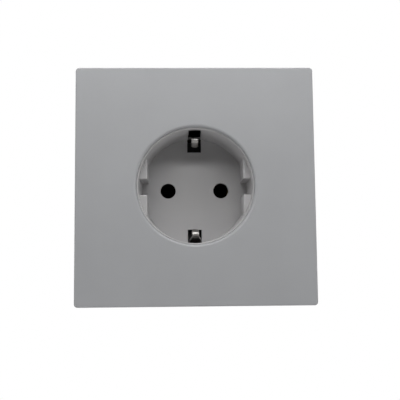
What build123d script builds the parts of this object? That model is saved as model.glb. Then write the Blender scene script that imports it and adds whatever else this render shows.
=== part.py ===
from build123d import *
import os
from math import radians, sqrt, tan

# Flush wall socket for a round plug with two pins and side earth clips.
# Millimetres. The wall is the plane y = 0, the front faces -Y and +Z is up.

# Support frame and the screws of the wall box
box_screw_spacing = 60.0
box_slot_length = 7.0
box_slot_r = 1.9
box_slot_edge = 2.0        # slot end to the frame's edge
frame_stand = 2.4          # frame's front face to the wall
frame_sheet = 1.0
frame_corner_r = 3.0
frame_bend_r = 0.5         # inside radius of the folded rim

# Cover plate
plate_overhang = 5.0       # plate's edge beyond the frame's edge
plate_projection = 9.5     # front face to the wall
plate_wall = 2.2
plate_skirt = 1.8
plate_corner_r = 1.2
plate_edge_r = 0.5
plate_inner_r = 0.8
mouth_fillet_r = 1.0
rib_width = 1.2
rib_height = 2.0
rib_gap = 3.0              # well flange to rib, seen from the front
hook_sheet = 1.2
hook_width = 6.0
hook_spread = 36.0         # height between the two hooks of a side
hook_inset = 4.5           # frame's edge to the hook
hook_barb = 0.8
hook_wall_gap = 0.3        # hook's tip to the wall
window_gap = 0.3           # hook to the edge of its window

# Socket well
mouth_r = 19.5
recess_depth = 17.5        # plate's front face to the well's floor
recess_draft = 2.2         # degrees
lip_width = 0.3            # at the lip's front edge
lip_flare = 0.6            # lip's outward slope, to the plate's rear face
lip_edge_r = 0.25
lip_setback = 1.0          # lip behind the plate's front face
lip_gap = 0.1              # lip to the plate's mouth
well_wall = 1.5
floor_thickness = 2.0
flat_inset = 3.0           # flats inside the mouth
flat_setback = 4.8         # flats behind the plate's front face
flat_edge_r = 0.5
notch_width = 5.4
pin_spacing = 19.0
pin_hole_r = 2.75
wall_slot_width = 4.4
wall_slot_setback = 3.3    # wall slot's front end behind the plate's front face
floor_slot_gap = 0.5       # earth strap to the sides of its floor slot
floor_slot_margin = 0.7    # slot's inner end to the clip's crest
flange_thickness = 2.0
flange_corner_r = 6.0
well_gap = 0.3             # well to the frame's opening and to the carrier

# Contact carrier, its deck and its rear cover
carrier_wall = 1.7
carrier_corner_r = 11.0
deck_thickness = 4.0
deck_hole_r = 3.0
chamber_corner_r = 0.8
chamber_gap = 0.3
web_thickness = 1.5
core_wall = 2.0
back_thickness = 2.5
back_edge = 0.6
access_hole_r = 3.5
wire_hole_r = 1.5
wire_funnel_r = 2.6
wire_funnel_depth = 1.2

# Pin contacts and their springs
contact_sheet = 0.8
contact_width = 7.0
contact_depth = 13.7       # deck to the sleeve's base
contact_tip_gap = 0.5      # deck to the tips of the arms
contact_grip = 4.5         # opening where the arms grip
contact_flare = 6.8        # opening at the tips
contact_throat = 5.8       # opening near the base
contact_flare_length = 2.0
contact_grip_length = 3.6
contact_neck_length = 2.4
contact_bend_r = 0.9
spring_sheet = 0.5
spring_bend_r = 0.8
spring_end_gap = 0.4       # spring's edges to the ends of the grip

# Terminals
terminal_sheet = 1.2
terminal_gap = 1.6         # least gap from sleeve to terminal plate
terminal_length = 12.5
terminal_bend_r = 0.4
foot_width = 8.0
earth_rivet_margin = 2.9   # rivet's axis to the earth terminal's plate
wire_gap = 1.8             # terminal plate to clamp plate
clamp_sheet = 1.0
clamp_side = 7.2
clamp_corner_r = 0.8
clamp_gap = 1.6            # between the two clamp plates of a terminal
clamp_margin = 0.2         # clamp plate to the terminal's side
terminal_screw_r = 1.75
terminal_head_r = 3.0
terminal_head_height = 2.0
terminal_tip = 1.2         # screw's end beyond the terminal plate
screw_gap = 0.05           # screw to its thread hole
clamp_hole_gap = 0.15
slot_width = 0.8           # drive slot of every screw
slot_depth = 1.0

# Rivets
rivet_r = 1.25
rivet_head_r = 1.8
rivet_head_height = 0.7
rivet_gap = 0.05
rivet_pocket_gap = 0.3

# Earth strap with its two spring clips
strap_sheet = 0.6
strap_width = 4.0
strap_bend_r = 1.0
groove_gap = 0.3
clip_crest_inset = 4.8     # crest inside the mouth
clip_crest_setback = 8.3   # crest behind the plate's front face
clip_tip_setback = 12.0    # tongue's free end behind the plate's front face
clip_tip_rise = 1.6        # tongue's free end outside its crest
clip_bend_setback = 4.1    # corner of the folded tongue, before rounding
clip_bend_inset = 2.73     # the same corner inside the mouth
clip_knee_setback = 15.5   # leg's knee behind the plate's front face
clip_foot_inset = 0.45     # knee and end bend inside the mouth
clip_bend_r = 0.9
clip_crest_r = 1.5
clip_knee_r = 3.0
tongue_width = 2.4
shoulder_setback = 6.0     # narrow end of the shoulders behind the plate's front face
shoulder_length = 3.6

# Screws of the well and of the rear cover
body_screw_r = 1.4
body_screw_length = 12.0
body_head_r = 2.8
body_head_height = 1.6
body_head_gap = 0.38       # head to the well's wall
body_hole_gap = 0.2        # screw to a plain hole

# Sizes across the socket
front_y = -plate_projection
plate_back_y = front_y + plate_wall
frame_front_y = -frame_stand
frame_rear_y = frame_front_y + frame_sheet
frame_side = box_screw_spacing + box_slot_length + 2 * box_slot_edge
plate_side = frame_side + 2 * plate_overhang
well_r = mouth_r + well_wall
lip_r = mouth_r + lip_width
mouth_hole_r = lip_r + lip_gap
opening_r = well_r + well_gap
flat_x = mouth_r - flat_inset
crest_r = mouth_r - clip_crest_inset
floor_slot_width = strap_width + 2 * floor_slot_gap
leg_r = mouth_r - clip_foot_inset
leg_inner = leg_r - strap_bend_r - groove_gap
leg_outer = leg_r + strap_sheet / 2 + groove_gap
groove_width = strap_width + 2 * groove_gap
rivet_sink = rivet_head_r - rivet_r
screw_circle_r = well_r + body_head_r + body_head_gap
screw_offset = screw_circle_r / sqrt(2)
hook_x = frame_side / 2 - hook_inset
pin_x = pin_spacing / 2
contact_inner_x = pin_x - contact_width / 2
contact_outer_x = pin_x + contact_width / 2
chamber_inner_x = contact_inner_x - spring_bend_r - spring_sheet / 2 - chamber_gap
clamp_screw_spacing = clamp_side + clamp_gap
terminal_width = clamp_screw_spacing + clamp_side + 2 * clamp_margin
chamber_half = terminal_width / 2 + chamber_gap
clamp_stack = terminal_sheet + wire_gap + clamp_sheet + terminal_head_height
wall_terminal = opening_r - chamber_gap - clamp_stack
terminal_x = max(wall_terminal, contact_outer_x + terminal_gap)
earth_inner = chamber_half + web_thickness
earth_foot = earth_inner + chamber_gap + rivet_head_r + earth_rivet_margin
earth_offset = max(wall_terminal, earth_foot)
chamber_outer_x = terminal_x + clamp_stack + chamber_gap
earth_outer = earth_offset + clamp_stack + chamber_gap
carrier_half = max(chamber_outer_x, earth_outer) + carrier_wall
flange_side = 2 * carrier_half
earth_rivet_offset = earth_offset - earth_rivet_margin
wire_x = terminal_x + terminal_sheet + wire_gap / 2
earth_wire = earth_offset + terminal_sheet + wire_gap / 2
wire_offset = clamp_screw_spacing / 2 + terminal_screw_r + wire_gap / 2

# Depths, from the front to the back
lip_y = front_y + lip_setback
flat_y = front_y + flat_setback
wall_slot_y = front_y + wall_slot_setback
floor_y = front_y + recess_depth
floor_rear_y = floor_y + floor_thickness
floor_r = mouth_r - tan(radians(recess_draft)) * (floor_y - lip_y)
flange_front_y = frame_front_y - flange_thickness
deck_y = floor_rear_y + well_gap
deck_rear_y = deck_y + deck_thickness
strap_rear_y = deck_rear_y + strap_sheet
contact_tip_y = deck_rear_y + contact_tip_gap
contact_base_y = deck_rear_y + contact_depth
foot_y = contact_base_y + contact_sheet
carrier_rear_y = foot_y + terminal_sheet
back_rear_y = carrier_rear_y + back_thickness
terminal_screw_y = (deck_rear_y + carrier_rear_y) / 2
grip_front_y = contact_tip_y + contact_flare_length
grip_rear_y = grip_front_y + contact_grip_length
back_head_y = back_rear_y - body_head_height

WELL_SCREW_SPOTS = [(screw_offset, screw_offset), (-screw_offset, -screw_offset)]
BACK_SCREW_SPOTS = [(screw_offset, -screw_offset), (-screw_offset, screw_offset)]
CLAMP_SPOTS = [-clamp_screw_spacing / 2, clamp_screw_spacing / 2]
QUARTERS = [0, 90, 180, 270]
SIDES = [1, -1]


def prism(outline, front, rear):
    """Solid with this outline in the front view, between two depths."""
    return extrude(Plane.XZ.offset(-rear) * outline, rear - front)


def turned(*points):
    """Solid of revolution about the plug's axis, from (radius, y) points."""
    return revolve(make_face(Polyline(*points, close=True)), Axis.Y)


def hole(x, z, radius, front, rear):
    """Round rod along the depth, to cut a hole or to add a shank."""
    return prism(Pos(x, z) * Circle(radius), front, rear)


def cross_rod(radius, near, far, y, z):
    """Round rod along X, between two places across."""
    middle = (near + far) / 2
    return Pos(middle, y, z) * Rot(0, 90, 0) * Cylinder(radius, far - near)


def front_edges(solid):
    """Edges round the foremost face of a solid."""
    return solid.faces().sort_by(Axis.Y)[0].edges()


def turn_down(piece):
    """The same piece, turned from the right-hand side to the bottom."""
    return Rot(0, 90, 0) * piece


def make_hook():
    """Snap hook on the right: a flat arm with a barb behind the frame."""
    inner = hook_x - hook_sheet / 2
    outer = hook_x + hook_sheet / 2
    tip_y = -hook_wall_gap
    outline = Polyline(
        (inner, plate_back_y),
        (outer, plate_back_y),
        (outer, frame_rear_y),
        (outer + hook_barb, frame_rear_y),
        (outer, tip_y),
        (inner, tip_y),
        close=True,
    )
    return extrude(make_face(outline), hook_width / 2, both=True)


def make_cover_plate():
    """Hollow square plate with a rounded mouth, ribs and snap hooks behind."""
    plate = prism(RectangleRounded(plate_side, plate_side, plate_corner_r), front_y, 0)
    plate = fillet(front_edges(plate), plate_edge_r)
    plate -= hole(0, 0, mouth_hole_r, front_y, 0)
    rim = plate.faces().sort_by(Axis.Y)[0].inner_wires()[0]
    plate = fillet(rim.edges(), mouth_fillet_r)
    plate -= turned(
        (0, lip_y),
        (mouth_hole_r, lip_y),
        (mouth_hole_r + lip_flare, plate_back_y),
        (0, plate_back_y),
    )
    inside = plate_side - 2 * plate_skirt
    plate -= prism(RectangleRounded(inside, inside, plate_inner_r), plate_back_y, 0)
    rib_offset = flange_side / 2 + rib_gap
    for angle in QUARTERS:
        bar = Rot(0, 0, angle) * Pos(rib_offset, 0) * Rectangle(rib_width, inside)
        plate += prism(bar, plate_back_y, plate_back_y + rib_height)
    hook = make_hook()
    for side in SIDES:
        raised = Pos(0, 0, side * hook_spread / 2) * hook
        plate += raised
        plate += mirror(raised, Plane.YZ)
    return plate


def make_support_frame():
    """Pressed steel tray with box screw slots, hook windows and an opening."""
    frame = prism(RectangleRounded(frame_side, frame_side, frame_corner_r), frame_front_y, 0)
    frame = fillet(front_edges(frame), frame_bend_r + frame_sheet)
    inside = frame_side - 2 * frame_sheet
    hollow = RectangleRounded(inside, inside, frame_corner_r - frame_sheet)
    hollow = prism(hollow, frame_rear_y, 0)
    frame -= fillet(front_edges(hollow), frame_bend_r)
    frame -= hole(0, 0, opening_r, frame_front_y, frame_rear_y)
    for angle in QUARTERS:
        slot = Pos(box_screw_spacing / 2, 0) * SlotOverall(box_slot_length, 2 * box_slot_r)
        frame -= prism(Rot(0, 0, angle) * slot, frame_front_y, frame_rear_y)
    window = Rectangle(hook_sheet + 2 * window_gap, hook_width + 2 * window_gap)
    for x_side in SIDES:
        for z_side in SIDES:
            spot = Pos(x_side * hook_x, z_side * hook_spread / 2)
            frame -= prism(spot * window, frame_front_y, frame_rear_y)
    for x, z in WELL_SCREW_SPOTS:
        frame -= hole(x, z, body_screw_r + body_hole_gap, frame_front_y, frame_rear_y)
    return frame


def make_well_flats():
    """Two thick flats at the sides of the recess, each with a notch."""
    segments = Circle(mouth_r + lip_width / 2) - Rectangle(2 * flat_x, 2 * well_r)
    segments -= Rectangle(2 * well_r, notch_width)
    flats = prism(segments, flat_y, floor_y)
    upright = flats.edges().filter_by(Axis.Z).group_by(Axis.Y)[0]
    level = flats.edges().filter_by(Axis.X).group_by(Axis.Y)[0]
    return fillet(upright + level, flat_edge_r)


def earth_slot(side, inner, width):
    """Front view of a slot from inside the recess outwards through its wall."""
    return Pos(0, side * (opening_r + inner) / 2) * Rectangle(width, opening_r - inner)


def make_socket_well():
    """Round recess with a lip, a flange, side flats, earth slots and pin holes."""
    well = turned(
        (0, floor_y),
        (floor_r, floor_y),
        (mouth_r, lip_y),
        (lip_r, lip_y),
        (lip_r + lip_flare, plate_back_y),
        (well_r, plate_back_y),
        (well_r, floor_rear_y),
        (0, floor_rear_y),
    )
    lip = well.faces().sort_by(Axis.Y)[0].edges().sort_by(SortBy.RADIUS)[0]
    well = fillet(lip, lip_edge_r)
    flange = RectangleRounded(flange_side, flange_side, flange_corner_r)
    flange -= Circle(mouth_r + well_wall / 2)
    well += prism(flange, flange_front_y, frame_front_y)
    well += make_well_flats()
    slot_inner = crest_r - floor_slot_margin
    for side in SIDES:
        well -= prism(earth_slot(side, slot_inner, floor_slot_width), floor_y, floor_rear_y)
        well -= prism(earth_slot(side, slot_inner, wall_slot_width), wall_slot_y, floor_y)
        well -= hole(side * pin_x, 0, pin_hole_r, floor_y, floor_rear_y)
    for x, z in WELL_SCREW_SPOTS:
        well -= hole(x, z, body_screw_r + body_hole_gap, flange_front_y, frame_front_y)
    return well


def chamber_outline(inner, outer, half):
    """Front view of one chamber on the right-hand side."""
    size = RectangleRounded(outer - inner, 2 * half, chamber_corner_r)
    return Pos((inner + outer) / 2, 0) * size


def make_contact_carrier():
    """Insulating body: a cup for the well in front, chambers for the metal behind."""
    side = 2 * carrier_half
    block = RectangleRounded(side, side, carrier_corner_r)
    carrier = prism(block, frame_rear_y, carrier_rear_y)
    carrier -= hole(0, 0, opening_r, frame_rear_y, deck_rear_y)
    groove = Rectangle(groove_width, 2 * leg_outer)
    carrier -= prism(groove, deck_rear_y, strap_rear_y)
    chamber = chamber_outline(chamber_inner_x, chamber_outer_x, chamber_half)
    earth_chamber = chamber_outline(earth_inner, earth_outer, chamber_half)
    core_half = chamber_inner_x - core_wall
    core = RectangleRounded(2 * core_half, 2 * chamber_half, chamber_corner_r)
    carrier -= prism(core, deck_rear_y + core_wall, carrier_rear_y)
    for angle in (0, 180):
        carrier -= prism(Rot(0, 0, angle) * chamber, deck_rear_y, carrier_rear_y)
        turned_chamber = Rot(0, 0, angle - 90) * earth_chamber
        carrier -= prism(turned_chamber, deck_rear_y, carrier_rear_y)
    for z in CLAMP_SPOTS:
        access = cross_rod(access_hole_r, terminal_x, carrier_half, terminal_screw_y, z)
        carrier -= access
        carrier -= mirror(access, Plane.YZ)
        carrier -= turn_down(access)
    for x, z in WELL_SCREW_SPOTS:
        carrier -= hole(x, z, body_screw_r + screw_gap, frame_rear_y,
                        flange_front_y + body_screw_length)
    for x, z in BACK_SCREW_SPOTS:
        carrier -= hole(x, z, body_screw_r + screw_gap, back_head_y - body_screw_length,
                        carrier_rear_y)
    return carrier


def make_contact_deck():
    """Insulating disc over the chambers, with pin holes and slots for the earth clips."""
    deck = hole(0, 0, well_r, deck_y, deck_rear_y)
    leg_slot = Rectangle(groove_width, leg_outer - leg_inner)
    for side in SIDES:
        deck -= hole(side * pin_x, 0, deck_hole_r, deck_y, deck_rear_y)
        spot = Pos(0, side * (leg_inner + leg_outer) / 2)
        deck -= prism(spot * leg_slot, deck_y, deck_rear_y)
    pocket_y = deck_rear_y - rivet_head_height - rivet_pocket_gap
    pocket_r = rivet_head_r + rivet_pocket_gap
    return deck - hole(0, -earth_rivet_offset, pocket_r, pocket_y, deck_rear_y)


def make_carrier_back():
    """Rear cover with funnelled wire entries and sunk screw heads."""
    side = 2 * carrier_half
    outline = RectangleRounded(side, side, carrier_corner_r)
    back = prism(outline, carrier_rear_y, back_rear_y)
    back = chamfer(back.faces().sort_by(Axis.Y)[-1].edges(), back_edge)
    entry = turned(
        (0, carrier_rear_y),
        (wire_hole_r, carrier_rear_y),
        (wire_hole_r, back_rear_y - wire_funnel_depth),
        (wire_funnel_r, back_rear_y),
        (0, back_rear_y),
    )
    for side in SIDES:
        for pole_side in SIDES:
            back -= Pos(pole_side * wire_x, 0, side * wire_offset) * entry
        back -= turn_down(Pos(earth_wire, 0, side * wire_offset) * entry)
    for x, z in BACK_SCREW_SPOTS:
        back -= hole(x, z, body_screw_r + body_hole_gap, carrier_rear_y, back_head_y)
        back -= hole(x, z, body_head_r + body_hole_gap, back_head_y, back_rear_y)
    return back


def make_contact():
    """Sleeve for the right-hand pin: a strip bent into two springy arms."""
    grip = (contact_grip + contact_sheet) / 2
    flare = (contact_flare + contact_sheet) / 2
    throat = (contact_throat + contact_sheet) / 2
    arm = [
        (contact_tip_y, flare),
        (grip_front_y, grip),
        (grip_rear_y, grip),
        (grip_rear_y + contact_neck_length, throat),
        (contact_base_y + contact_sheet / 2, throat),
    ]
    other_arm = [(y, -z) for y, z in reversed(arm)]
    path = FilletPolyline(*arm, *other_arm, radius=contact_bend_r)
    edge_view = Plane.YZ * trace(path, contact_sheet)
    sleeve = Pos(pin_x, 0, 0) * extrude(edge_view, contact_width / 2, both=True)
    return sleeve - hole(pin_x, 0, rivet_r + rivet_gap, contact_base_y, foot_y)


def make_contact_spring():
    """Clip that presses the arms of the right-hand sleeve together."""
    reach = contact_grip / 2 + contact_sheet + spring_sheet / 2
    web_x = contact_inner_x - spring_bend_r
    path = FilletPolyline(
        (contact_outer_x, reach),
        (web_x, reach),
        (web_x, -reach),
        (contact_outer_x, -reach),
        radius=spring_bend_r,
    )
    front = grip_front_y + spring_end_gap
    return prism(trace(path, spring_sheet), front, grip_rear_y - spring_end_gap)


def make_terminal(inner, offset, rivet_x, corner_y, end_y):
    """Bracket on the right: a foot under the rivet, bent into a plate for two screws."""
    step = terminal_sheet if end_y > corner_y else -terminal_sheet
    outer = offset + terminal_sheet
    edge_view = make_face(Polyline(
        (inner, corner_y),
        (outer, corner_y),
        (outer, end_y),
        (offset, end_y),
        (offset, corner_y + step),
        (inner, corner_y + step),
        close=True,
    ))
    bend = edge_view.vertices().sort_by_distance((outer, corner_y))[0]
    edge_view = fillet(bend, terminal_bend_r + terminal_sheet)
    bend = edge_view.vertices().sort_by_distance((offset, corner_y + step))[0]
    edge_view = fillet(bend, terminal_bend_r)
    terminal = extrude(edge_view, terminal_width / 2, both=True)
    front = min(corner_y, corner_y + step)
    rear = max(corner_y, corner_y + step)
    foot_end = offset - terminal_bend_r
    waste = Rectangle(foot_end - inner, terminal_width) - Rectangle(foot_end - inner, foot_width)
    terminal -= prism(Pos((inner + foot_end) / 2, 0) * waste, front, rear)
    terminal -= Pos(rivet_x, 0, 0) * rivet_shank(rivet_gap, front, rear)
    for z in CLAMP_SPOTS:
        terminal -= cross_rod(terminal_screw_r + screw_gap, offset, outer, terminal_screw_y, z)
    return terminal


def make_pole_terminal():
    """Bracket behind the right-hand sleeve, seated on the rear cover."""
    end_y = carrier_rear_y - terminal_length
    return make_terminal(contact_inner_x, terminal_x, pin_x, carrier_rear_y, end_y)


def make_earth_terminal():
    """Bracket behind the earth strap, at the bottom."""
    inner = earth_inner + chamber_gap
    end_y = strap_rear_y + terminal_length
    return turn_down(make_terminal(inner, earth_offset, earth_rivet_offset, strap_rear_y, end_y))


def make_clamp_plates(offset):
    """Two square washers that press the wires, in front of a terminal on the right."""
    near = offset + terminal_sheet + wire_gap
    square = RectangleRounded(clamp_side, clamp_side, clamp_corner_r)
    square -= Circle(terminal_screw_r + clamp_hole_gap)
    spots = Sketch() + [Pos(terminal_screw_y, z) * square for z in CLAMP_SPOTS]
    return extrude(Plane.YZ.offset(near) * spots, clamp_sheet)


def make_terminal_screws(offset):
    """Two slotted screws through the clamp plates into a terminal on the right."""
    seat = offset + terminal_sheet + wire_gap + clamp_sheet
    end = seat + terminal_head_height
    screws = Part()
    for z in CLAMP_SPOTS:
        screw = cross_rod(terminal_screw_r, offset - terminal_tip, seat, terminal_screw_y, z)
        screw += cross_rod(terminal_head_r, seat, end, terminal_screw_y, z)
        groove = Box(slot_depth, 2 * terminal_head_r, slot_width)
        screws += screw - Pos(end - slot_depth / 2, terminal_screw_y, z) * groove
    return screws


def rivet_shank(gap, front, rear):
    """Round shank that widens into a flush cone behind, this much wider all round."""
    return turned(
        (0, front),
        (rivet_r + gap, front),
        (rivet_r + gap, rear - rivet_sink),
        (rivet_head_r + gap, rear),
        (0, rear),
    )


def make_rivet(x, z, front, rear):
    """Rivet with a flat head in front and a flush end behind."""
    rivet = Pos(x, 0, z) * rivet_shank(0, front, rear)
    return rivet + hole(x, z, rivet_head_r, front - rivet_head_height, front)


def make_earth_strap():
    """One strip behind the deck, with a folded spring tongue at each end."""
    arm = [
        (front_y + clip_tip_setback, crest_r + clip_tip_rise),
        (front_y + clip_crest_setback, crest_r),
        (front_y + clip_bend_setback, mouth_r - clip_bend_inset),
        (front_y + clip_knee_setback, leg_r),
        (deck_rear_y + strap_sheet / 2, leg_r),
    ]
    other_arm = [(y, -z) for y, z in reversed(arm)]
    radii = [clip_crest_r, clip_bend_r, clip_knee_r, strap_bend_r]
    path = FilletPolyline(*arm, *other_arm, radius=radii + radii[::-1])
    edge_view = Plane.YZ * trace(path, strap_sheet)
    strap = extrude(edge_view, strap_width / 2, both=True) & clip_blank()
    return strap - hole(0, -earth_rivet_offset, rivet_r + rivet_gap, deck_rear_y, strap_rear_y)


def clip_blank():
    """Space that the strap fills: wide legs with shoulders, narrow tongues between them."""
    tongue = tongue_width / 2
    leg = strap_width / 2
    shoulder_y = front_y + shoulder_setback
    outline = Polyline(
        (tongue, front_y),
        (tongue, shoulder_y),
        (leg, shoulder_y + shoulder_length),
        (leg, strap_rear_y),
        (-leg, strap_rear_y),
        (-leg, shoulder_y + shoulder_length),
        (-tongue, shoulder_y),
        (-tongue, front_y),
        close=True,
    )
    split = mouth_r - clip_bend_inset - strap_sheet / 2
    legs = extrude(make_face(outline), mouth_r, both=True)
    legs -= prism(Rectangle(2 * strap_width, 2 * split), front_y, floor_y)
    return legs + prism(Rectangle(tongue_width, 2 * split), front_y, floor_y)


def make_body_screws(spots, seat_y, head_side):
    """Slotted screws along the depth, their heads on this side of the seat."""
    head_y = seat_y + head_side * body_head_height
    groove_y = head_y - head_side * slot_depth
    end_y = seat_y - head_side * body_screw_length
    groove = Rectangle(2 * body_head_r, slot_width)
    screws = Part()
    for x, z in spots:
        screw = hole(x, z, body_screw_r, min(seat_y, end_y), max(seat_y, end_y))
        screw += hole(x, z, body_head_r, min(seat_y, head_y), max(seat_y, head_y))
        screws += screw - prism(Pos(x, z) * groove, min(groove_y, head_y), max(groove_y, head_y))
    return screws


def add_pole_pieces(pieces):
    """The metal of both poles: the left-hand set mirrors the right-hand one."""
    live = {
        "contact": make_contact(),
        "contact_spring": make_contact_spring(),
        "terminal": make_pole_terminal(),
        "rivet": make_rivet(pin_x, 0, contact_base_y, carrier_rear_y),
        "clamp_plates": make_clamp_plates(terminal_x),
        "terminal_screws": make_terminal_screws(terminal_x),
    }
    for name, piece in live.items():
        pieces["live_" + name] = piece
        pieces["neutral_" + name] = mirror(piece, Plane.YZ)


def main():
    """Build every piece and write one file for each."""
    os.makedirs("parts", exist_ok=True)
    pieces = {
        "cover_plate": make_cover_plate(),
        "support_frame": make_support_frame(),
        "socket_well": make_socket_well(),
        "contact_carrier": make_contact_carrier(),
        "contact_deck": make_contact_deck(),
        "carrier_back": make_carrier_back(),
        "earth_strap": make_earth_strap(),
        "earth_terminal": make_earth_terminal(),
        "earth_rivet": make_rivet(0, -earth_rivet_offset, deck_rear_y, strap_rear_y + terminal_sheet),
        "earth_clamp_plates": turn_down(make_clamp_plates(earth_offset)),
        "earth_terminal_screws": turn_down(make_terminal_screws(earth_offset)),
        "well_screws": make_body_screws(WELL_SCREW_SPOTS, flange_front_y, -1),
        "back_screws": make_body_screws(BACK_SCREW_SPOTS, back_head_y, 1),
    }
    add_pole_pieces(pieces)
    for name, piece in pieces.items():
        export_step(piece, f"parts/{name}.step")


main()
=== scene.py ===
from math import pi, radians

import bmesh
import bpy
import numpy as np
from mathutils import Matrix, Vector


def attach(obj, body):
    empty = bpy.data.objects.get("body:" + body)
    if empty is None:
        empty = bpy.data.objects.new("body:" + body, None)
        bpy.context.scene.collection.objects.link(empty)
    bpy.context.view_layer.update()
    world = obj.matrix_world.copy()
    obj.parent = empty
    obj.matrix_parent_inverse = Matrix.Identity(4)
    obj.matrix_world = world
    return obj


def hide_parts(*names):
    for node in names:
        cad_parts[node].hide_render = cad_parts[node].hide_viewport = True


# Flush wall socket: finishes, earth strap, screws, lamps and camera around the solid model.
# Metres, unless a comment says millimetres. The wall is the plane y = 0, the front faces -Y
# and +Z is up.

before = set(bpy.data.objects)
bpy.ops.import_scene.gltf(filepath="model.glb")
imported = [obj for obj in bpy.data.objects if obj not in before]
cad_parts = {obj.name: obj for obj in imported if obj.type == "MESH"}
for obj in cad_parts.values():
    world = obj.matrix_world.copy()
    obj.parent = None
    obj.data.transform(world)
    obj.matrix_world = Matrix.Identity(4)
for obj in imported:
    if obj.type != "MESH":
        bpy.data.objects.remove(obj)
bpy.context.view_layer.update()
MM = 0.001
POLES = ("live", "neutral")


class Socket:
    """One output of a node, which stands in sums and products like a number."""

    def __init__(self, finish, output):
        self.finish = finish
        self.output = output

    def math(self, operation, first, second):
        """A Math node on two numbers or outputs."""
        return self.finish.node("ShaderNodeMath", {"operation": operation}, {0: first, 1: second})

    def __add__(self, other):
        return self.math("ADD", self, other)

    def __radd__(self, other):
        return self.math("ADD", other, self)

    def __sub__(self, other):
        return self.math("SUBTRACT", self, other)

    def __rsub__(self, other):
        return self.math("SUBTRACT", other, self)

    def __mul__(self, other):
        return self.math("MULTIPLY", self, other)

    def __rmul__(self, other):
        return self.math("MULTIPLY", other, self)

    def larger(self, other):
        """The larger of two values."""
        return self.math("MAXIMUM", self, other)

    def over(self, low, high):
        """How far the value has come from low to high, kept between 0 and 1."""
        ends = {"From Min": low, "From Max": high, "Value": self}
        return self.finish.node("ShaderNodeMapRange", {"clamp": True}, ends)


class Finish:
    """A node tree being put together, with one method that adds any node."""

    def __init__(self, tree):
        self.tree = tree

    def node(self, kind, settings=None, inputs=None, output=0):
        """Add a node: its settings first, then the values or links of its sockets."""
        made = self.tree.nodes.new(kind)
        for name, value in (settings or {}).items():
            setattr(made, name, value)
        for name, value in (inputs or {}).items():
            self.feed(made.inputs[name], value)
        return Socket(self, made.outputs[output])

    def feed(self, entry, value):
        """Link an output to a socket, or set the socket's own value."""
        if isinstance(value, Socket):
            self.tree.links.new(value.output, entry)
        else:
            entry.default_value = value

    def place(self):
        """Where a point of the surface is, in metres."""
        return self.node("ShaderNodeTexCoord", output="Object")

    def noise(self, size, detail=2.0, stretch=(1, 1, 1)):
        """Soft random value from 0 to 1, with blotches of this size in metres."""
        scale = tuple(factor / size for factor in stretch)
        mapped = self.node("ShaderNodeMapping", None, {"Vector": self.place(), "Scale": scale})
        return self.node("ShaderNodeTexNoise", None,
                         {"Vector": mapped, "Scale": 1.0, "Detail": detail})

    def mix(self, factor, first, second):
        """Colour between two colours."""
        return self.node("ShaderNodeMix", {"data_type": "RGBA"},
                         {0: factor, 6: first, 7: second}, output=2)

    def bump(self, height, depth):
        """Surface normal of a relief of this depth in metres."""
        return self.node("ShaderNodeBump", None,
                         {"Strength": 1.0, "Distance": depth, "Height": height})

    def straight_looks(self):
        """1 for a ray from the camera, or one that a gloss or a clear piece sends on."""
        camera, gloss, clear = [self.node("ShaderNodeLightPath", output=f"Is {kind} Ray")
                                for kind in ("Camera", "Glossy", "Transmission")]
        return camera.larger(gloss.larger(clear))


def srgb(red, green, blue):
    """Linear colour from the 0 to 255 values of a screen colour."""
    share = np.array([red, green, blue]) / 255
    linear = np.where(share <= 0.04045, share / 12.92, ((share + 0.055) / 1.055) ** 2.4)
    return (*linear.tolist(), 1.0)


def grey(level):
    """Linear grey of this level."""
    return (level, level, level, 1.0)


def new_finish(name):
    """A new material: its Finish, and a function that sets its shader's sockets."""
    material = bpy.data.materials.new(name)
    material.use_nodes = True
    finish = Finish(material.node_tree)
    shader = material.node_tree.nodes["Principled BSDF"]

    def shade(**sockets):
        for socket, value in sockets.items():
            finish.feed(shader.inputs[socket.replace("_", " ")], value)

    return material, finish, shade


# Sizes of the blotches and depths of the relief on the finishes
PLASTIC_CLOUD = 0.02
PLASTIC_GRAIN = 0.00025
PLASTIC_RELIEF = 0.000006
FILLER_SPECK = 0.0006
THERMOSET_WAVE = 0.008
THERMOSET_RELIEF = 0.00001
METAL_PATCH = 0.004
ROLLING_RELIEF = 0.000004


def satin_plastic(name, colour, darker):
    """Moulded plastic with a fine eroded grain and a faint cloudiness."""
    material, finish, shade = new_finish(name)
    cloud = finish.noise(PLASTIC_CLOUD)
    grain = finish.noise(PLASTIC_GRAIN, detail=3)
    shade(
        Base_Color=finish.mix(cloud.over(0.3, 0.7), colour, darker),
        Roughness=0.42 + 0.12 * grain,
        Normal=finish.bump(grain, PLASTIC_RELIEF),
    )
    return material


def dark_thermoset(name, colour, speck, gloss):
    """Dark thermoset plastic with paler specks of filler and a dull, slightly wavy skin."""
    material, finish, shade = new_finish(name)
    specks = finish.noise(FILLER_SPECK, detail=4).over(0.62, 0.78)
    waves = finish.noise(THERMOSET_WAVE, detail=3)
    shade(
        Base_Color=finish.mix(specks, colour, speck),
        Roughness=0.42 + 0.2 * waves,
        Normal=finish.bump(waves + specks, THERMOSET_RELIEF),
        Specular_IOR_Level=gloss,
    )
    return material


def sheet_metal(name, bright, dull, roughness, line_size, stretch):
    """Plated or bare sheet metal with fine rolling lines and duller patches."""
    material, finish, shade = new_finish(name)
    lines = finish.noise(line_size, detail=3, stretch=stretch)
    patches = finish.noise(METAL_PATCH, detail=3)
    shade(
        Base_Color=finish.mix(patches.over(0.35, 0.75), bright, dull),
        Metallic=1.0,
        Roughness=roughness + 0.12 * lines + 0.1 * patches.over(0.4, 0.8),
        Normal=finish.bump(lines, ROLLING_RELIEF),
    )
    return material


def paint(material, *names):
    """Give a finish to nodes of the solid model, through their material slots."""
    for name in names:
        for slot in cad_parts[name].material_slots:
            slot.material = material


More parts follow.
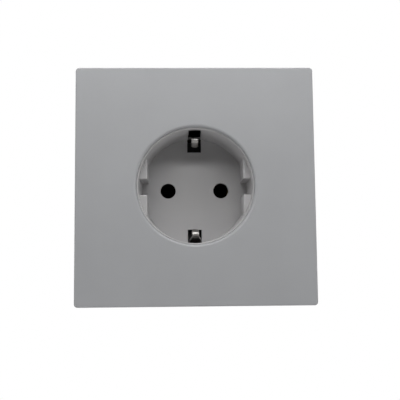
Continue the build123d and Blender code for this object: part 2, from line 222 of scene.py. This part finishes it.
def pole_nodes(*endings):
    """The nodes of both poles with these endings."""
    return [f"{pole}_{ending}" for pole in POLES for ending in endings]


plate_plastic = satin_plastic("plate_plastic", srgb(152, 153, 155), srgb(149, 150, 152))
# The well's plastic is paler than the plate's: partly its own tone, partly painted light that lifts
# the shade in the recess
well_plastic = satin_plastic("well_plastic", srgb(172, 171, 171), srgb(169, 168, 169))
carrier_plastic = dark_thermoset("carrier_plastic", srgb(24, 24, 26), srgb(62, 61, 60), gloss=0.5)
deck_plastic = dark_thermoset("deck_plastic", srgb(9, 9, 10), srgb(16, 16, 16), gloss=0.15)
frame_steel = sheet_metal("frame_steel", srgb(190, 192, 196), srgb(168, 170, 172),
                          roughness=0.3, line_size=0.0012, stretch=(1, 1, 0.1))
earth_metal = sheet_metal("earth_metal", srgb(148, 146, 144), srgb(129, 126, 123),
                          roughness=0.3, line_size=0.0004, stretch=(4, 0.3, 0.3))
contact_brass = sheet_metal("contact_brass", srgb(176, 142, 78), srgb(140, 108, 60),
                            roughness=0.4, line_size=0.0008, stretch=(1, 1, 0.2))
# Contacts and their rivets: metal darkened to near black, painted shade for the pin holes they lie
# behind
contact_painted_shade = sheet_metal("contact_painted_shade", srgb(44, 38, 32), srgb(34, 30, 26),
                             roughness=0.5, line_size=0.0008, stretch=(1, 1, 0.2))
spring_steel = sheet_metal("spring_steel", srgb(112, 114, 120), srgb(90, 90, 94),
                           roughness=0.3, line_size=0.0008, stretch=(1, 1, 0.2))
screw_steel = sheet_metal("screw_steel", srgb(198, 198, 196), srgb(176, 174, 168),
                          roughness=0.26, line_size=0.0006, stretch=(1, 1, 1))
paint(plate_plastic, "cover_plate")
paint(well_plastic, "socket_well")
paint(carrier_plastic, "contact_carrier", "carrier_back")
paint(deck_plastic, "contact_deck")
paint(frame_steel, "support_frame")
# The contacts and rivets take the near-black painted shade of the pin holes
paint(contact_painted_shade, *pole_nodes("contact", "rivet"))
paint(contact_brass, *pole_nodes("terminal"), "earth_terminal", "earth_rivet")
paint(spring_steel, *pole_nodes("contact_spring"))
paint(screw_steel, *pole_nodes("clamp_plates"), "earth_clamp_plates")

# Points nearer than this are one point, and edges sharper than this angle stay sharp
SAME_POINT = 0.0000001
CREASE_ANGLE = radians(40)


def skin(rings):
    """Closed surface through rings of points: quads between neighbours, a fan over each end."""
    count, around = rings.shape[:2]
    ends = np.array([rings[0].mean(0), rings[-1].mean(0)])
    points = np.concatenate([rings.reshape(-1, 3), ends])
    spot = np.arange(around)
    following = np.roll(spot, -1)
    starts = np.arange(count - 1)[:, None] * around
    corners = [starts + spot, starts + following,
               starts + around + following, starts + around + spot]
    quads = np.stack(corners, -1).reshape(-1, 4)
    last = (count - 1) * around
    front_fan = np.stack([following, spot, np.full(around, last + around)], -1)
    rear_fan = np.stack([last + spot, last + following, np.full(around, last + around + 1)], -1)
    return points, quads.tolist() + front_fan.tolist() + rear_fan.tolist()


def add_piece(name, shells, material, node):
    """One piece from closed shells in millimetres: it rides on the socket and stands for a node."""
    points, faces = [], []
    for shell_points, shell_faces in shells:
        offset = sum(len(block) for block in points)
        points.append(shell_points)
        faces += [[corner + offset for corner in face] for face in shell_faces]
    mesh = bpy.data.meshes.new(name)
    mesh.from_pydata(np.concatenate(points) * MM, [], faces)
    mender = bmesh.new()
    mender.from_mesh(mesh)
    bmesh.ops.remove_doubles(mender, verts=mender.verts, dist=SAME_POINT)
    bmesh.ops.recalc_face_normals(mender, faces=mender.faces)
    mender.to_mesh(mesh)
    mender.free()
    mesh.shade_smooth()
    mesh.set_sharp_from_angle(angle=CREASE_ANGLE)
    mesh.materials.append(material)
    piece = bpy.data.objects.new(name, mesh)
    bpy.context.scene.collection.objects.link(piece)
    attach(piece, "root")
    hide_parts(node)


# Earth strap, in millimetres. The corners of one half of its middle line are given as
# (y, distance from the plug's axis), and each bend radius belongs to a corner from CREST on.
TONGUE_TIP = (2.5, 16.3)
CREST = (-1.2, 14.7)
FOLD = (-5.4, 16.77)
KNEE = (6.0, 19.05)
FOOT = (14.6, 19.05)
STRAP_CORNERS = [TONGUE_TIP, CREST, FOLD, KNEE, FOOT]
BEND_RADII = [1.5, 0.9, 3.0, 1.0]
STRAP_SHEET = 0.6
STRAP_EDGE = 0.18          # radius of the strip's cut edges
TONGUE_HALF = 1.2
LEG_HALF = 2.0
SHOULDER_Y = (-3.5, 0.1)   # where the shoulders start and end
CREST_CROWN = 0.3
TIP_ROUNDING = 0.8         # share of the squared half width that is lost at the tip
BEND_POINTS = 25
STRAP_STEP = 0.16
EDGE_POINTS = 5
FACE_POINTS = 7
LEVEL_DIGITS = 6           # a sine that rounds to 0 at these digits is level


def rounded_line(corners, radii, step):
    """Points at equal steps on a line through corners, each rounded to its radius.

    A corner's arc starts and ends at radius times the tangent of half the turn from the corner,
    and its centre is on the corner's bisector.
    """
    corners = np.array(corners)
    line = [corners[:1]]
    for before, corner, after, radius in zip(corners, corners[1:], corners[2:], radii):
        back = (before - corner) / np.linalg.norm(before - corner)
        onward = (after - corner) / np.linalg.norm(after - corner)
        half = np.arccos(np.clip(back @ onward, -1, 1)) / 2
        middle = (back + onward) / np.linalg.norm(back + onward)
        centre = corner + middle * radius / np.sin(half)
        swing = np.linspace(-1, 1, BEND_POINTS)[:, None] * (pi / 2 - half)
        across = (onward - back) / np.linalg.norm(onward - back)
        line.append(centre + radius * (np.sin(swing) * across - np.cos(swing) * middle))
    line.append(corners[-1:])
    line = np.concatenate(line)
    travelled = np.concatenate([[0], np.cumsum(np.linalg.norm(np.diff(line, axis=0), axis=1))])
    stations = np.linspace(0, travelled[-1], int(travelled[-1] / step))
    return np.stack([np.interp(stations, travelled, line[:, k]) for k in (0, 1)], -1), stations


def strap_outline():
    """Round-edged strip seen on end, as three values for each point round it.

    They are the place across, from -1 to 1, the face, 1 or -1, and the turn of the edge's arc.
    Where the turn is level, in the middle of a cut edge, the face is 0.
    """
    arc = np.linspace(0, pi / 2, EDGE_POINTS)
    flat = np.linspace(-1, 1, FACE_POINTS + 2)[1:-1]
    corner = np.ones(EDGE_POINTS)
    across = np.concatenate([corner, -flat, -corner, -corner, flat, corner])
    half_turn = np.concatenate([arc, np.full(FACE_POINTS, pi / 2), arc + pi / 2])
    turn = np.concatenate([half_turn, half_turn + pi])
    face = np.sign(np.round(np.sin(turn), LEVEL_DIGITS))
    return across, face, turn


def bend_earth_strap():
    """Earth strap: a round-edged strip carried along its bent middle line.

    Its half width is that of the tongue up to the shoulders, grows in a straight line along
    them, and is that of the leg from there on. The tongue narrows in a rounded tip, and it is
    crowned across, most of all midway between its tip and the fold.
    """
    mirrored = [(y, -z) for y, z in reversed(STRAP_CORNERS)]
    radii = BEND_RADII + BEND_RADII[::-1]
    line, travelled = rounded_line(STRAP_CORNERS + mirrored, radii, STRAP_STEP)
    along = np.gradient(line, axis=0)
    along /= np.linalg.norm(along, axis=1)[:, None]
    normal = np.stack([-along[:, 1], along[:, 0]], -1)
    from_end = np.minimum(travelled, travelled[-1] - travelled)
    tongue = from_end[np.argmin(line[:, 0])]
    grown = np.interp(line[:, 0], SHOULDER_Y, (TONGUE_HALF, LEG_HALF))
    half = np.where(from_end < tongue, TONGUE_HALF, grown)
    tip = np.clip(1 - from_end / TONGUE_HALF, 0, 1)
    half = (half * np.sqrt(1 - TIP_ROUNDING * tip ** 2))[:, None]
    crown = CREST_CROWN * np.clip(1 - np.abs(2 * from_end / tongue - 1), 0, 1)[:, None]
    across, face, turn = strap_outline()
    x = across * (half - STRAP_EDGE) + STRAP_EDGE * np.cos(turn)
    up = face * (STRAP_SHEET / 2 - STRAP_EDGE) + STRAP_EDGE * np.sin(turn)
    raised = up + crown * (1 - (x / half) ** 2)
    profile = line[:, None] + raised[..., None] * normal[:, None]
    rings = np.concatenate([x[..., None], profile], -1)
    add_piece("bent_earth_strap", [skin(rings)], earth_metal, "earth_strap")


bend_earth_strap()

# Screws, in millimetres
SCREW_SPOT = 17.098        # body screws, sideways and upward from the plug's axis
WELL_SEAT_Y = -4.4
BACK_SEAT_Y = 30.9
CLAMP_SPOT = 4.4           # terminal screws, to each side of the middle of their pair
TERMINAL_SEAT = 19.0       # how far out their seats are from the plug's axis
TERMINAL_Y = 22.15
BODY_SCREW = {"shank": 1.4, "length": 12.0, "head": 2.8, "height": 1.6, "pitch": 0.8}
TERMINAL_SCREW = {"shank": 1.75, "length": 5.2, "head": 3.0, "height": 2.0, "pitch": 0.7}
SLOT_WIDTH = 0.8
SLOT_DEPTH = 1.0
HEAD_FALL = 0.45           # share of the head's height that is lost at its rim
THREAD_DEPTH = 0.28
RIDGE_SLOPE = 1.6          # over 1, so that the thread's crest is flat
SHANK_IN_HEAD = 0.2        # how far the shank reaches up into its head
HEAD_SLICES = 16           # on each side of the slot
SLICE_POINTS = 17
LAST_SLICE = pi / 2 - 0.02  # in radians, just short of the head's rim
STEPS_PER_PITCH = 8
SHANK_SIDES = 32


def slotted_head(head, height):
    """Domed head with a slot: upright slices across the slot, each a closed loop.

    A slice at distance u from the axis is as long as the head's chord there. Its top falls from
    the full height by the sixth power of the distance from the axis, and is the slot's floor
    inside the slot, whose two walls are pairs of slices at one place.
    """
    edge = SLOT_WIDTH / 2
    outward = np.sin(np.linspace(np.arcsin(edge / head), LAST_SLICE, HEAD_SLICES)) * head
    u = np.concatenate([-outward[::-1], [-edge, edge], outward])[:, None]
    in_slot = np.zeros_like(u, bool)
    in_slot[HEAD_SLICES:HEAD_SLICES + 2] = True
    share = np.sin(np.linspace(-pi / 2, pi / 2, SLICE_POINTS))
    v = np.sqrt(head ** 2 - u ** 2) * share
    fall = ((u ** 2 + v ** 2) / head ** 2) ** 3
    top = np.where(in_slot, height - SLOT_DEPTH, height * (1 - HEAD_FALL * fall))
    return np.stack([np.repeat(u, 2 * SLICE_POINTS, 1),
                     np.concatenate([v, v[:, ::-1]], 1),
                     np.concatenate([top, np.zeros_like(top)], 1)], -1)


def threaded_shank(shank, length, pitch):
    """Screw thread: the radius is a ramp up and down once in each pitch, wound round the axis.

    It runs out to the thread's root over the last turn before the tip.
    """
    steps = round(length / pitch * STEPS_PER_PITCH)
    depth = np.arange(steps + 1)[:, None] * pitch / STEPS_PER_PITCH
    turn = np.linspace(0, 2 * pi, SHANK_SIDES, endpoint=False)
    place = (depth / pitch - turn / (2 * pi)) % 1
    ridge = np.clip(RIDGE_SLOPE * (1 - np.abs(2 * place - 1)), 0, 1)
    fade = np.clip((length - depth) / pitch, 0, 1)
    radius = shank - THREAD_DEPTH * (1 - ridge * fade)
    height = np.broadcast_to(SHANK_IN_HEAD - depth, radius.shape)
    return np.stack([radius * np.cos(turn), radius * np.sin(turn), height], -1)


def cut_screws(node, seats, outward, slot_way, shank, length, head, height, pitch):
    """Screws with their heads on these seats, facing outward, their slots along slot_way."""
    outward, slot_way = np.array(outward), np.array(slot_way)
    axes = np.stack([np.cross(slot_way, outward), slot_way, outward])
    shells = []
    for seat in seats:
        for rings in (slotted_head(head, height), threaded_shank(shank, length, pitch)):
            shells.append(skin(np.array(seat) + rings @ axes))
    add_piece("cut_" + node, shells, screw_steel, node)


cut_screws("well_screws", [(s * SCREW_SPOT, WELL_SEAT_Y, s * SCREW_SPOT) for s in (1, -1)],
           (0, -1, 0), (1, 0, 0), **BODY_SCREW)
cut_screws("back_screws", [(s * SCREW_SPOT, BACK_SEAT_Y, -s * SCREW_SPOT) for s in (1, -1)],
           (0, 1, 0), (1, 0, 0), **BODY_SCREW)
for side, pole in zip((1, -1), POLES):
    cut_screws(f"{pole}_terminal_screws",
               [(side * TERMINAL_SEAT, TERMINAL_Y, z) for z in (-CLAMP_SPOT, CLAMP_SPOT)],
               (side, 0, 0), (0, 1, 0), **TERMINAL_SCREW)
cut_screws("earth_terminal_screws",
           [(x, TERMINAL_Y, -TERMINAL_SEAT) for x in (-CLAMP_SPOT, CLAMP_SPOT)],
           (0, 0, -1), (0, 1, 0), **TERMINAL_SCREW)


def make_lamp(name, place, size, power):
    """A soft rectangular lamp at a place, turned to the socket."""
    data = bpy.data.lights.new(name, "AREA")
    data.shape = "RECTANGLE"
    data.size, data.size_y = size
    data.energy = power
    lamp = bpy.data.objects.new(name, data)
    bpy.context.scene.collection.objects.link(lamp)
    lamp.location = place
    lamp.rotation_euler = (-Vector(place)).to_track_quat("-Z", "Y").to_euler()
    lamp.visible_camera = False
    return lamp


# Lamps: place, width and height, and power in watts
LAMPS = {
    "key_box": ((0.0, -0.52, 0.295), (0.6, 0.055), 1.43),
    "high_box": ((0.0, -0.20, 0.25), (0.4, 0.08), 0.19),
    "top_box": ((0.0, -0.10, 0.20), (0.4, 0.08), 0.4),
    "low_card": ((0.0, -0.06, -0.22), (0.4, 0.08), 0.128),
    "left_box": ((-0.54, -0.25, 0.08), (0.15, 0.2), 0.36),
    "right_box": ((0.54, -0.25, 0.08), (0.15, 0.2), 0.39),
    "corner_box": ((0.40, -0.40, 0.10), (0.15, 0.2), 0.21),
    "back_box": ((0.15, 0.55, 0.35), (0.6, 0.4), 1.6),
}
lamps = {name: make_lamp(name, *lamp) for name, lamp in LAMPS.items()}
# The low card only lifts the shade: the metal doesn't mirror it
lamps["low_card"].visible_glossy = False

# Studio
FILL_LEVEL = 0.1
SCREEN_LEVEL = 0.02
PAPER_LEVEL = 0.8
FLOOR_Z = -0.25
FLOOR_REACH = 2.0
SHADOW_SHARE = 0.28        # of the floor's own light and shade that shows near the socket
SHADOW_NEAR = 0.35         # distance from the socket at which it starts to fade
SHADOW_FAR = 0.7           # and at which the floor is white
SCREEN_Y = -1.0
SCREEN_REACH = 1.6
SCREEN_Z = (-0.24, 1.2)


def stage_sheet(name, corners, material):
    """A flat four-cornered sheet of the studio, which isn't part of the socket."""
    mesh = bpy.data.meshes.new(name)
    mesh.from_pydata(corners, [], [(0, 1, 2, 3)])
    mesh.materials.append(material)
    sheet = bpy.data.objects.new(name, mesh)
    bpy.context.scene.collection.objects.link(sheet)
    return sheet


def glow(finish, colour):
    """Plain light of this colour."""
    return finish.node("ShaderNodeEmission", None, {"Color": colour, "Strength": 1.0})


def pale_floor():
    """Pale floor below the socket: it keeps the shadow near it and is white further off."""
    material, finish, shade = new_finish("floor_paper")
    shade(Base_Color=grey(PAPER_LEVEL), Roughness=0.9)
    distance = finish.node("ShaderNodeVectorMath", {"operation": "LENGTH"},
                           {0: finish.place()}, "Value")
    shadow = SHADOW_SHARE * (1 - distance.over(SHADOW_NEAR, SHADOW_FAR))
    white = finish.straight_looks() * (1 - shadow)
    nodes = material.node_tree.nodes
    paper = Socket(finish, nodes["Principled BSDF"].outputs[0])
    seen = finish.node("ShaderNodeMixShader", None,
                       {0: white, 1: paper, 2: glow(finish, grey(1.0))})
    finish.feed(nodes["Material Output"].inputs["Surface"], seen)
    corners = [(-1, -1), (1, -1), (1, 1), (-1, 1)]
    stage_sheet("floor", [(x * FLOOR_REACH, y * FLOOR_REACH, FLOOR_Z) for x, y in corners],
                material)


def dark_screen():
    """Dark screen behind the camera, which keeps what the metal mirrors dark."""
    material, finish, _ = new_finish("screen_grey")
    finish.feed(material.node_tree.nodes["Material Output"].inputs["Surface"],
                glow(finish, grey(SCREEN_LEVEL)))
    low, high = SCREEN_Z
    corners = [(-1, low), (-1, high), (1, high), (1, low)]
    screen = stage_sheet("screen", [(x * SCREEN_REACH, SCREEN_Y, z) for x, z in corners], material)
    screen.visible_camera = False


def light_world():
    """White surroundings for the camera and for gloss, a dim grey for the fill light."""
    world = bpy.data.worlds.new("studio")
    bpy.context.scene.world = world
    world.use_nodes = True
    finish = Finish(world.node_tree)
    fill, white = [
        finish.node("ShaderNodeBackground", None, {"Color": grey(level), "Strength": 1.0})
        for level in (FILL_LEVEL, 1.0)
    ]
    surround = finish.node("ShaderNodeMixShader", None,
                           {0: finish.straight_looks(), 1: fill, 2: white})
    finish.feed(world.node_tree.nodes["World Output"].inputs["Surface"], surround)


pale_floor()
dark_screen()
light_world()

# Camera: its lens and sensor in millimetres, and its turns about X, Y and Z in degrees
LENS = 63.685
SENSOR = 36.0
CAMERA_PLACE = (-0.00593, -0.2457, -0.0289)
CAMERA_TURNS = (95.759, 0.541, -1.728)


def make_camera():
    """Camera at the place and angle that the photograph was taken from."""
    data = bpy.data.cameras.new("camera")
    data.sensor_width = SENSOR
    data.lens = LENS
    camera = bpy.data.objects.new("camera", data)
    bpy.context.scene.collection.objects.link(camera)
    camera.location = CAMERA_PLACE
    camera.rotation_euler = [radians(turn) for turn in CAMERA_TURNS]
    bpy.context.scene.camera = camera


make_camera()
bpy.context.scene.view_settings.view_transform = "Standard"
